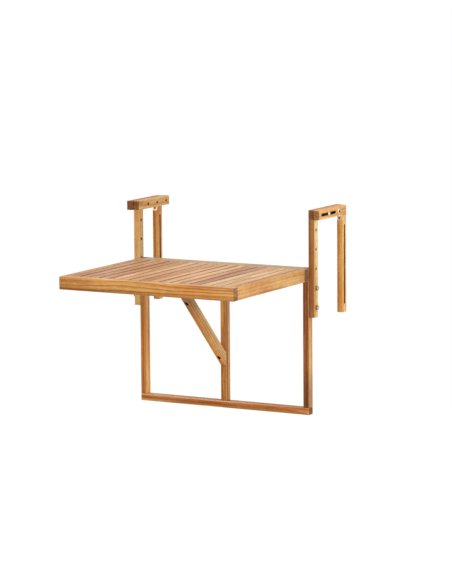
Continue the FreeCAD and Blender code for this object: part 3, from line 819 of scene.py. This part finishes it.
def cross_drive(head_radius, head_height, dark):
    """The cross-shaped hole of a wood screw's head, lined with the dark metal of painted shade."""
    width = head_radius * CROSS_WIDTH
    blade = head_radius * CROSS_BLADE
    start = -2 * head_height
    stop = head_height * (CROSS_DEPTH - 1)
    parts = []
    for size in ((width, blade), (blade, width)):
        deselect()
        bpy.ops.mesh.primitive_cube_add(size=1, location=(0, 0, (start + stop) / 2))
        bpy.context.active_object.scale = (*size, stop - start)
        parts.append(settle(dark))
    return combine(parts[0], parts[1], "UNION")


def hexagon_bolt(across, head_height, radius, shank, metal):
    """A bolt along Z with its seat at the origin and a hexagonal head whose outer corners are turned off."""
    corner = hexagon_radius(across)
    obj = rod(corner, -head_height, 0, metal, HEX_SIDES)
    turned = rod(corner * TURNING_ROOM, -head_height, head_height, metal)
    ease_rim(turned, -head_height, across * TURNED_CORNER, 1)
    combine(obj, turned, "INTERSECT")
    return combine(obj, rod(radius, -head_height / 2, shank, metal), "UNION")


# Operators

class Step:
    """What the operators share: each can be undone."""
    bl_options = {"REGISTER", "UNDO"}


SLAT_COLOURS = ("rose", "rose", "salmon", "rose", "sand", "sand", "salmon", "salmon",
                "sand", "salmon", "sand", "salmon", "mauve", "cream", "cream", "sand")


class HANGING_TABLE_OT_top_boards(Step, bpy.types.Operator):
    """Finish the rails, slats and batten of the table top"""
    bl_idname = "hanging_table.top_boards"
    bl_label = "Finish the top's boards"

    def execute(self, context):
        boards = [
            # The thin umber strip along the front rail's lower edge is painted shade on the eased arris
            Board("front_rail", "X", "cream", layers=[("honey", 0.003)],
                  strips=[("caramel", 1, 0.013), ("umber", 1, 0.0025)], pith=(0.070, 0.012), figure=1.2),
            # The back rail's greyish drab tone is painted sheen: the grey of its top seen at a grazing angle
            Board("back_rail", "X", "drab"),
            Board("left_side_rail", "Y", "tan", figure=0.5),
            Board("right_side_rail", "Y", "tan", figure=0.5),
            Board("mid_batten", "X", "amber"),
            Board("strut_cleat", "X", "russet")]
        # The slats' sides carry painted shade in the gaps between them
        for number, colour in enumerate(SLAT_COLOURS, 1):
            boards.append(Board("slat_%02d" % number, "Y", colour, gaps=True, shade_tone="grime"))
        finish_boards(boards, context.scene.hanging_table.wood)
        return {"FINISHED"}


class HANGING_TABLE_OT_frame_boards(Step, bpy.types.Operator):
    """Finish the frame behind the top and the strut"""
    bl_idname = "hanging_table.frame_boards"
    bl_label = "Finish the frame's boards"

    def execute(self, context):
        look = context.scene.hanging_table.wood
        finish_boards([
            Board("left_stile", "Z", "apricot", layers=[("amber", 0.004)]),
            Board("right_stile", "Z", "tan", layers=[("chestnut", 0.004)], ends=[(-1, 0.11)]),
            Board("bottom_rail", "X", "russet", strips=[("tan", 1, 0.009), ("salmon", -1, 0.0022)]),
            Board("head_rail", "X", "drab"),
            Board("mullion", "Z", "tan", layers=[("umber", 0.014), ("ochre", 0.004)]),
            # The strut's darker upper end is painted shade under the table top
            Board("strut", "lean", "oat", layers=[("umber", 0.0085), ("honey", 0.0055)], ends=[(1, 0.085)],
                  depth=look.strut_depth, overhang=look.strut_overhang, figure=0.7),
        ], look)
        return {"FINISHED"}


class HANGING_TABLE_OT_hanger_boards(Step, bpy.types.Operator):
    """Finish the posts, arms and drop legs of both hangers"""
    bl_idname = "hanging_table.hanger_boards"
    bl_label = "Finish the hangers' boards"

    def execute(self, context):
        finish_boards([
            Board("left_post", "Z", "apricot", strips=[("oat", 1, 0.004)], figure=0.6),
            # The inner bars carry a painted shadow behind the outer bars' slots
            Board("left_inner_bar", "Y", "tan", stripe=-1, bolt="left_slide_bolt"),
            # The outer bars carry painted shade on the face against the inner bar
            Board("left_outer_bar", "Y", "russet", shaded_face=1),
            Board("left_drop_leg", "Z", "apricot", layers=[("honey", 0.004)], shade_tone="grime"),
            Board("right_post", "Z", "straw", layers=[("umber", 0.004)], strips=[("walnut", -1, 0.004)],
                  figure=0.7),
            Board("right_inner_bar", "Y", "amber", stripe=1, bolt="right_slide_bolt"),
            Board("right_outer_bar", "Y", "apricot", shaded_face=-1, figure=0.6),
            Board("right_drop_leg", "Z", "straw", layers=[("ochre", 0.004)], figure=0.7),
        ], context.scene.hanging_table.wood)
        return {"FINISHED"}


class HANGING_TABLE_OT_post_fasteners(Step, bpy.types.Operator):
    """Model the bolts and washers that hold the posts to the frame"""
    bl_idname = "hanging_table.post_fasteners"
    bl_label = "Model the post fasteners"

    POST_BOLTS = 2
    WASHER_EASE = 0.22
    WASHER_STEPS = 3

    def execute(self, context):
        look = context.scene.hanging_table.hardware
        metals = Metals(look)
        for side, sign in SIDES.items():
            self.bolts(side, sign, look, metals)
            self.washers(side, sign, look, metals)
            frame["nodes"][side + "_post_inserts"].material_slots[0].material = metals.steel
        return {"FINISHED"}

    def bolts(self, side, sign, look, metals):
        """Hexagon-head bolts that point inwards."""
        node = side + "_post_bolts"
        low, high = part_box(node)
        across = high.y - low.y
        shank = high.x - low.x - look.hex_head_height
        bolt = hexagon_bolt(across, look.hex_head_height, look.bolt_diameter / 2, shank, metals.steel)
        seat_x = (high.x if sign > 0 else low.x) - sign * look.hex_head_height
        places = [((seat_x, spot.y, spot.z), (-sign, 0, 0))
                  for spot in row(node, 2, self.POST_BOLTS, hexagon_radius(across))]
        set_out(bolt, side + "_post_bolt_pair", places, node)

    def washers(self, side, sign, look, metals):
        """Flat washers with eased rims."""
        node = side + "_post_washers"
        low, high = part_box(node)
        radius = (high.y - low.y) / 2
        thickness = high.x - low.x
        washer = rod(radius, 0, thickness, metals.steel)
        for height in (0, thickness):
            ease_rim(washer, height, thickness * self.WASHER_EASE, self.WASHER_STEPS)
        combine(washer, rod(look.bolt_diameter / 2, -thickness, 2 * thickness, metals.steel), "DIFFERENCE")
        seat_x = low.x if sign > 0 else high.x
        places = [((seat_x, spot.y, spot.z), (sign, 0, 0)) for spot in row(node, 2, self.POST_BOLTS, radius)]
        set_out(washer, side + "_post_washer_pair", places, node)


class HANGING_TABLE_OT_slide_fasteners(Step, bpy.types.Operator):
    """Model the slide bolts and lock screws of the arms"""
    bl_idname = "hanging_table.slide_fasteners"
    bl_label = "Model the slide fasteners"

    def execute(self, context):
        look = context.scene.hanging_table.hardware
        metals = Metals(look)
        for side, sign in SIDES.items():
            radius = look.bolt_diameter / 2
            self.screw(side + "_lock_screw", "_round", sign, look.bolt_head_height, radius, metals.plate,
                       socket_drive(look, metals.dark))
            self.screw(side + "_slide_bolt", "_domed", sign, look.slide_head_height, radius, metals.plate)
            frame["nodes"][side + "_slide_insert"].material_slots[0].material = metals.steel
        return {"FINISHED"}

    def screw(self, node, ending, sign, head_height, radius, metal, drive=None):
        """A round-headed bolt that points inwards."""
        low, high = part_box(node)
        middle = (low + high) / 2
        shank = high.x - low.x - head_height
        bolt = round_screw((high.y - low.y) / 2, head_height, radius, shank, metal, drive)
        seat_x = (high.x if sign > 0 else low.x) - sign * head_height
        set_out(bolt, node + ending, [((seat_x, middle.y, middle.z), (-sign, 0, 0))], node)


class HANGING_TABLE_OT_corner_brackets(Step, bpy.types.Operator):
    """Model the bent brackets between arms and legs, and their screws"""
    bl_idname = "hanging_table.corner_brackets"
    bl_label = "Model the corner brackets"

    CORNER_STEPS = 8
    BEND_STEPS = 6
    EASE_SHARE = 0.15
    EASE_STEPS = 2
    EASE_ANGLE = math.radians(50)

    def execute(self, context):
        look = context.scene.hanging_table.hardware
        metals = Metals(look)
        for side in SIDES:
            self.bracket(side, look, metals)
            self.screws(side, look, metals)
        return {"FINISHED"}

    def holes(self, side, look):
        """Where the screws sit on the bracket's two flanges, and the way they point."""
        low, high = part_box(side + "_leg_bracket")
        middle = (low.x + high.x) / 2
        inset = (high.y - low.y + look.bracket_metal) / 2
        return [(Vector((middle, high.y - look.bracket_metal, high.z - inset)), Vector((0, 1, 0))),
                (Vector((middle, high.y - inset, high.z - look.bracket_metal)), UP)]

    def bracket(self, side, look, metals):
        """A bracket of bent sheet metal with two drilled holes and eased edges."""
        node = side + "_leg_bracket"
        low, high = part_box(node)
        thickness = look.bracket_metal
        obj = self.bent_sheet(low, high, look, metals.plate)
        obj.name = side + "_corner_bracket"
        inward = sum(face.normal.z + face.normal.y for face in obj.data.polygons) < 0
        modify(obj, "SOLIDIFY", thickness=thickness, offset=1.0 if inward else -1.0, use_even_offset=True)
        for spot, way in self.holes(side, look):
            drill = rod(look.small_screw_diameter / 2, -thickness, 2 * thickness, metals.plate)
            point(drill, spot, way)
            bpy.context.view_layer.update()
            combine(obj, drill, "DIFFERENCE")
        modify(obj, "BEVEL", width=thickness * self.EASE_SHARE, segments=self.EASE_STEPS,
               limit_method="ANGLE", angle_limit=self.EASE_ANGLE)
        seat(obj, node)

    def bent_sheet(self, low, high, look, metal):
        """The outer face of a bracket: one flange level under the arm, and one down the leg."""
        deselect()
        bpy.ops.mesh.primitive_plane_add(size=1)
        obj = bpy.context.active_object
        obj.scale = (high.x - low.x, high.y - low.y, 1)
        obj.location = ((low.x + high.x) / 2, (low.y + high.y) / 2, high.z)
        settle(metal)
        edit(True)
        pick(obj, "edges", lambda corner: near(corner.y, high.y))
        bpy.ops.mesh.extrude_region_move(TRANSFORM_OT_translate={"value": (0, 0, low.z - high.z)})
        pick(obj, "verts", lambda corner: near(corner.y, low.y) or near(corner.z, low.z))
        bpy.ops.mesh.bevel(offset=look.bracket_corner, segments=self.CORNER_STEPS, affect="VERTICES")
        pick(obj, "edges", lambda corner: near(corner.y, high.y) and near(corner.z, high.z))
        bpy.ops.mesh.bevel(offset=look.bracket_bend, segments=self.BEND_STEPS, affect="EDGES")
        bpy.ops.mesh.select_all(action="SELECT")
        bpy.ops.mesh.normals_make_consistent(inside=False)
        edit(False)
        return obj

    def screws(self, side, look, metals):
        """Two cross-headed screws, one up into the arm and one back into the leg."""
        node = side + "_bracket_screws"
        low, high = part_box(node)
        places = self.holes(side, look)
        head_radius = (high.x - low.x) / 2
        shank = high.z - places[1][0].z
        drive = cross_drive(head_radius, look.small_head_height, metals.dark)
        screw = round_screw(head_radius, look.small_head_height, look.small_screw_diameter / 2, shank,
                            metals.steel, drive)
        set_out(screw, side + "_bracket_screw_pair", places, node)


class HANGING_TABLE_OT_wood_screws(Step, bpy.types.Operator):
    """Model the screws of the batten, the head rail and the strut"""
    bl_idname = "hanging_table.wood_screws"
    bl_label = "Model the wood screws"

    HEAD_RAIL_SCREWS = 4

    def execute(self, context):
        look = context.scene.hanging_table.hardware
        metals = Metals(look)
        small = (look.small_screw_diameter, look.small_head_height, metals)
        large = (look.screw_diameter, look.screw_head_height, metals)
        self.line("slat_screws", "slat_screw_row", len(SLAT_COLOURS), (0, 0, 1), *small)
        self.line("head_rail_screws", "head_rail_screw_row", self.HEAD_RAIL_SCREWS, (0, -1, 0), *large)
        self.line("strut_foot_screw", "strut_foot_screw_cross", 1, (0, 1, 0), *large)
        self.line("strut_head_screw", "strut_head_screw_cross", 1, (0, 0, 1), *large)
        return {"FINISHED"}

    def line(self, node, name, count, way, diameter, head_height, metals):
        """Screws in a line along X, pointing one way, with cross drives."""
        low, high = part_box(node)
        way = Vector(way)
        axis, across = (2, 1) if way.z else (1, 2)
        head_radius = (high[across] - low[across]) / 2
        shank = high[axis] - low[axis] - head_height
        drive = cross_drive(head_radius, head_height, metals.dark)
        screw = round_screw(head_radius, head_height, diameter / 2, shank, metals.steel, drive)
        places = []
        for spot in row(node, 0, count, head_radius):
            spot[axis] = (low[axis] if way[axis] > 0 else high[axis]) + way[axis] * head_height
            places.append((spot, way))
        set_out(screw, name, places, node)


class HANGING_TABLE_OT_stage(Step, bpy.types.Operator):
    """Set up the floor, the light and the camera"""
    bl_idname = "hanging_table.stage"
    bl_label = "Set up the stage"

    FLOOR_WIDTH = 120
    FLOOR_GREYS = ((0.86, 0.86, 0.86), (0.9, 0.9, 0.9))
    FLOOR_ROUGHNESS = 0.9
    SPECKLES = ((3, 3, 3), (0, 0, 0), 2)
    GLOW = 1.13
    GLOW_SHARE = 0.85
    # Each soft lamp's name, place from the middle of the table, width and setting for its power
    LAMPS = (("key_lamp", (2.7, -1.7, 0.45), 1.6, "key_power"),
             ("top_lamp", (0.2, -0.4, 2.9), 2.4, "top_power"),
             ("fill_lamp", (-1.9, -2.6, 0.5), 2.2, "fill_power"))
    SENSOR_WIDTH = 36
    FARTHEST_VIEW = 200

    def execute(self, context):
        stage = context.scene.hanging_table.stage
        self.floor(stage)
        self.world(stage)
        self.lamps(stage)
        self.camera(stage)
        bpy.context.scene.view_settings.view_transform = "Standard"
        return {"FINISHED"}

    def floor(self, stage):
        """A pale floor that shows white, keeps the table's shadow and can be seen through from below."""
        deselect()
        height = CAD_BOX[0].z - stage.floor_drop
        bpy.ops.mesh.primitive_plane_add(size=self.FLOOR_WIDTH, location=(0, 0, height))
        floor = bpy.context.active_object
        floor.name = "floor"
        material, recipe, surface = new_material("pale_floor")
        place = recipe.node("ShaderNodeTexCoord", output="Object")
        darker, paler = self.FLOOR_GREYS
        speckle = recipe.noise(place, *self.SPECKLES)
        recipe.feed(surface.inputs["Base Color"], recipe.mix(speckle, rgba(darker), rgba(paler)))
        surface.inputs["Roughness"].default_value = self.FLOOR_ROUGHNESS
        surface.inputs["Specular IOR Level"].default_value = 0.0
        seen = self.seen(recipe)
        glow = recipe.node("ShaderNodeEmission", {}, {"Color": rgba(WHITE), "Strength": self.GLOW})
        lit = Tied(recipe, surface.outputs[0])
        shown = recipe.node("ShaderNodeMixShader", {}, {0: seen * self.GLOW_SHARE, 1: lit, 2: glow})
        below = recipe.node("ShaderNodeNewGeometry", output="Backfacing")
        clear = recipe.node("ShaderNodeBsdfTransparent")
        open_below = recipe.node("ShaderNodeMixShader", {}, {0: below, 1: shown, 2: clear})
        recipe.feed(recipe.tree.nodes["Material Output"].inputs["Surface"], open_below)
        floor.data.materials.append(material)

    @staticmethod
    def seen(recipe):
        """1 for what the camera sees directly, in a reflection or through glass."""
        path = recipe.node("ShaderNodeLightPath", output="Is Camera Ray")
        return path.larger(path.other("Is Glossy Ray")).larger(path.other("Is Transmission Ray"))

    def world(self, stage):
        world = bpy.data.worlds.new("studio")
        world.use_nodes = True
        bpy.context.scene.world = world
        recipe = Recipe(world.node_tree)
        seen = self.seen(recipe)
        background = world.node_tree.nodes["Background"]
        background.inputs["Color"].default_value = rgba(WHITE)
        recipe.feed(background.inputs["Strength"], stage.ambient + seen * (1 - stage.ambient))

    def lamps(self, stage):
        middle = (CAD_BOX[0] + CAD_BOX[1]) / 2
        for name, place, width, setting in self.LAMPS:
            away = Vector(place)
            deselect()
            bpy.ops.object.light_add(type="AREA", location=middle + away)
            lamp = bpy.context.active_object
            lamp.name = name
            lamp.data.size = width
            lamp.data.energy = getattr(stage, setting)
            lamp.rotation_euler = away.to_track_quat("Z", "Y").to_euler()

    def camera(self, stage):
        level = math.cos(stage.elevation)
        back = Vector((math.sin(stage.azimuth) * level, -math.cos(stage.azimuth) * level,
                       math.sin(stage.elevation)))
        deselect()
        bpy.ops.object.camera_add(location=Vector(stage.aim) + back * stage.distance)
        camera = bpy.context.active_object
        camera.rotation_mode = "QUATERNION"
        camera.rotation_quaternion = back.to_track_quat("Z", "Y") @ Quaternion(UP, -stage.roll)
        camera.data.lens = stage.lens
        camera.data.sensor_width = self.SENSOR_WIDTH
        camera.data.clip_end = self.FARTHEST_VIEW
        bpy.context.scene.camera = camera


STEPS = (HANGING_TABLE_OT_top_boards, HANGING_TABLE_OT_frame_boards, HANGING_TABLE_OT_hanger_boards,
         HANGING_TABLE_OT_post_fasteners, HANGING_TABLE_OT_slide_fasteners, HANGING_TABLE_OT_corner_brackets,
         HANGING_TABLE_OT_wood_screws, HANGING_TABLE_OT_stage)


class HANGING_TABLE_PT_panel(bpy.types.Panel):
    """Lists the steps and settings of the hanging table"""
    bl_label = "Hanging table"
    bl_space_type = "VIEW_3D"
    bl_region_type = "UI"
    bl_category = "Hanging table"

    def draw(self, context):
        settings = context.scene.hanging_table
        for step in STEPS:
            self.layout.operator(step.bl_idname)
        for name in ("wood", "hardware", "stage"):
            box = self.layout.box()
            box.label(text=name.capitalize())
            group = getattr(settings, name)
            for key in group.__annotations__:
                box.prop(group, key)


CLASSES = (WoodSettings, HardwareSettings, StageSettings, TableSettings, *STEPS, HANGING_TABLE_PT_panel)


def register():
    for item in CLASSES:
        bpy.utils.register_class(item)
    bpy.types.Scene.hanging_table = PointerProperty(type=TableSettings)


def unregister():
    del bpy.types.Scene.hanging_table
    for item in reversed(CLASSES):
        bpy.utils.unregister_class(item)


def main():
    register()
    bpy.ops.hanging_table.top_boards()
    bpy.ops.hanging_table.frame_boards()
    bpy.ops.hanging_table.hanger_boards()
    bpy.ops.hanging_table.post_fasteners()
    bpy.ops.hanging_table.slide_fasteners()
    bpy.ops.hanging_table.corner_brackets()
    bpy.ops.hanging_table.wood_screws()
    bpy.ops.hanging_table.stage()


if __name__ == "__main__":
    main()
